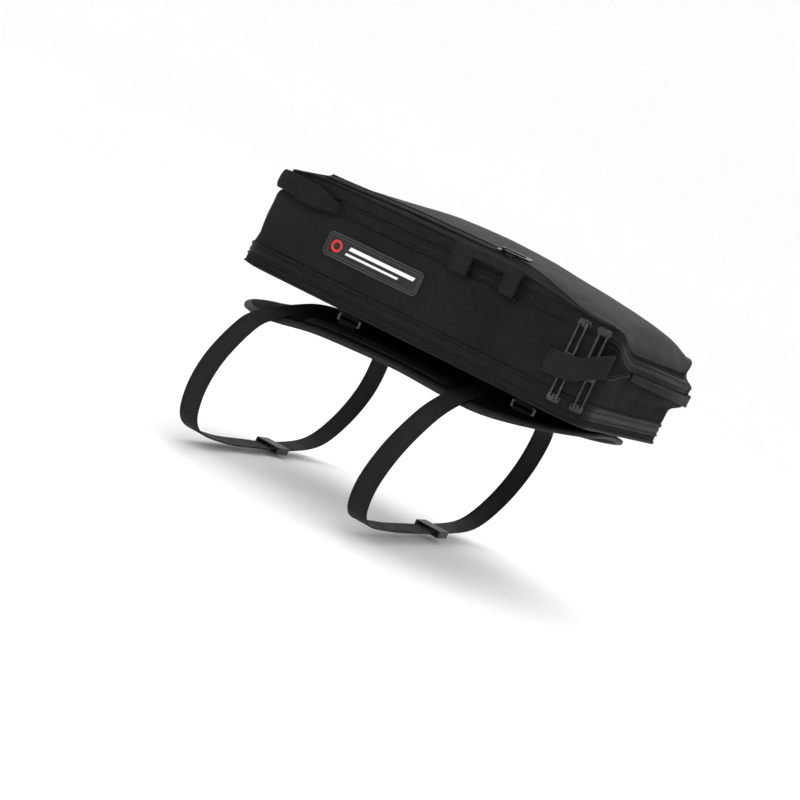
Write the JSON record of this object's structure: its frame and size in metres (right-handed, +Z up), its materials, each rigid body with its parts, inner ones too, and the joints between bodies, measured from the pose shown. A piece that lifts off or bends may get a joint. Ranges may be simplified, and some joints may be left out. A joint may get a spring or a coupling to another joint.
{
  "type": "motorcycle tail bag",
  "caption": "Low expandable tail bag with a hinged zip lid, lid pocket, grab handle and an anti-slip seat mat held by two belts.",
  "frame": {"origin": "middle of the seat mat's underside, where it rests on the crown of the seat", "axes": "+X forward along the vehicle, +Z up, -Y towards the side with the badge and grab handle"},
  "size_m": [0.4256, 0.3786, 0.31],
  "materials": {
    "nylon": "matt ballistic weave",
    "lid_fabric": "satin coated fabric",
    "piping": "satin welt",
    "zip_tape": "coil zip tape",
    "webbing": "woven webbing",
    "zip_metal": "gloss black",
    "ring_metal": "satin black",
    "foam": "closed-cell foam",
    "board": "stiff sheet",
    "lining": "plain lining",
    "badge_rubber": "moulded",
    "mat_rubber": "anti-slip coated pad",
    "buckle_plastic": "moulded"
  },
  "bodies": {
    "base": {"seat_mat": "mat_rubber", "mat_binding": "piping", "mat_webbing": "webbing", "front_belt": "webbing", "rear_belt": "webbing", "belt_buckles": "buckle_plastic", "hold_down_rings": "ring_metal", "hold_down_tabs": "webbing", "base_panel": "nylon", "base_board": "board", "base_lining": "lining", "bottom_piping": "piping", "lower_wall": "nylon", "lower_zip_bottom_piping": "piping", "lower_zip_bottom": "zip_tape", "expansion_gusset": "lining"},
    "shell": {"lower_zip_top": "zip_tape", "lower_zip_top_piping": "piping", "side_wall": "nylon", "wall_foam": "foam", "wall_lining": "lining", "main_zip_bottom_piping": "piping", "main_zip_bottom": "zip_tape", "badge": "badge_rubber", "corner_patch": "nylon", "pull_keeper": "webbing", "front_handle": "webbing", "side_handle_feet": "webbing", "hinge_strip": "zip_tape", "hinge_wrap": "nylon"},
    "lid": {"main_zip_top": "zip_tape", "main_zip_top_piping": "piping", "lid_band": "nylon", "lid_edge_piping": "piping", "lid_top": "lid_fabric", "lid_board": "board", "lid_lining": "lining", "pocket_zip": "zip_tape"},
    "side_handle": {"side_handle": "webbing"},
    "main_slider_near": {"main_slider_near": "zip_metal"},
    "main_puller_near": {"main_puller_near": "zip_metal"},
    "main_slider_front": {"main_slider_front": "zip_metal"},
    "main_puller_front": {"main_puller_front": "zip_metal"},
    "lower_slider_near": {"lower_slider_near": "zip_metal"},
    "lower_puller_near": {"lower_puller_near": "zip_metal"},
    "lower_slider_front": {"lower_slider_front": "zip_metal"},
    "lower_puller_front": {"lower_puller_front": "zip_metal"},
    "pocket_slider": {"pocket_slider": "zip_metal"},
    "pocket_puller": {"pocket_puller": "zip_metal"}
  },
  "joints": [
    {"name": "expansion", "type": "slide", "parent": "base", "child": "shell", "axis": [0, 0, 1], "range_m": [0, 0.045], "deforming": ["expansion_gusset"]},
    {"name": "lid_hinge", "type": "hinge", "parent": "shell", "child": "lid", "pos_m": [-0.191, 0, 0.095], "axis": [0, -1, 0], "range_deg": [0, 95], "deforming": ["hinge_strip", "hinge_wrap"]},
    {"name": "main_zip_near", "type": "slide", "parent": "shell", "child": "main_slider_near", "axis": [-1, 0, 0], "range_m": [0, 0.26], "deforming": ["pull_keeper", "side_handle_feet"]},
    {"name": "main_zip_front", "type": "hinge", "parent": "shell", "child": "main_slider_front", "pos_m": [0.165, -0.115, 0.095], "axis": [0, 0, 1], "range_deg": [-8, 20], "deforming": ["pull_keeper"]},
    {"name": "lower_zip_near", "type": "slide", "parent": "base", "child": "lower_slider_near", "axis": [-1, 0, 0], "range_m": [0, 0.31], "deforming": ["pull_keeper"]},
    {"name": "lower_zip_front", "type": "hinge", "parent": "base", "child": "lower_slider_front", "pos_m": [0.165, -0.115, 0.022], "axis": [0, 0, 1], "range_deg": [0, 40], "deforming": ["pull_keeper"]},
    {"name": "pocket_zip_run", "type": "slide", "parent": "lid", "child": "pocket_slider", "axis": [-1, 0, 0], "range_m": [0, 0.188]},
    {"name": "main_puller_near_swing", "type": "hinge", "parent": "main_slider_near", "child": "main_puller_near", "pos_m": [0.155, -0.1436, 0.095], "axis": [-1, 0, 0], "range_deg": [0, 150], "deforming": ["pull_keeper"]},
    {"name": "main_puller_front_swing", "type": "hinge", "parent": "main_slider_front", "child": "main_puller_front", "pos_m": [0.17571, -0.14152, 0.095], "axis": [-0.9272, -0.3746, 0], "range_deg": [0, 150], "deforming": ["pull_keeper"]},
    {"name": "lower_puller_near_swing", "type": "hinge", "parent": "lower_slider_near", "child": "lower_puller_near", "pos_m": [0.158, -0.1436, 0.022], "axis": [1, 0, 0], "range_deg": [0, 150], "deforming": ["pull_keeper"]},
    {"name": "lower_puller_front_swing", "type": "hinge", "parent": "lower_slider_front", "child": "lower_puller_front", "pos_m": [0.1814, -0.13843, 0.022], "axis": [0.8192, 0.5736, 0], "range_deg": [0, 150], "deforming": ["pull_keeper"]},
    {"name": "pocket_puller_swing", "type": "hinge", "parent": "pocket_slider", "child": "pocket_puller", "pos_m": [0.045, -0.11993, 0.12508], "axis": [0, -0.9659, -0.2588], "range_deg": [0, 150]},
    {"name": "side_handle_fold", "type": "hinge", "parent": "shell", "child": "side_handle", "pos_m": [0.049, -0.1481, 0.088], "axis": [1, 0, 0], "range_deg": [0, 90]}
  ]
}
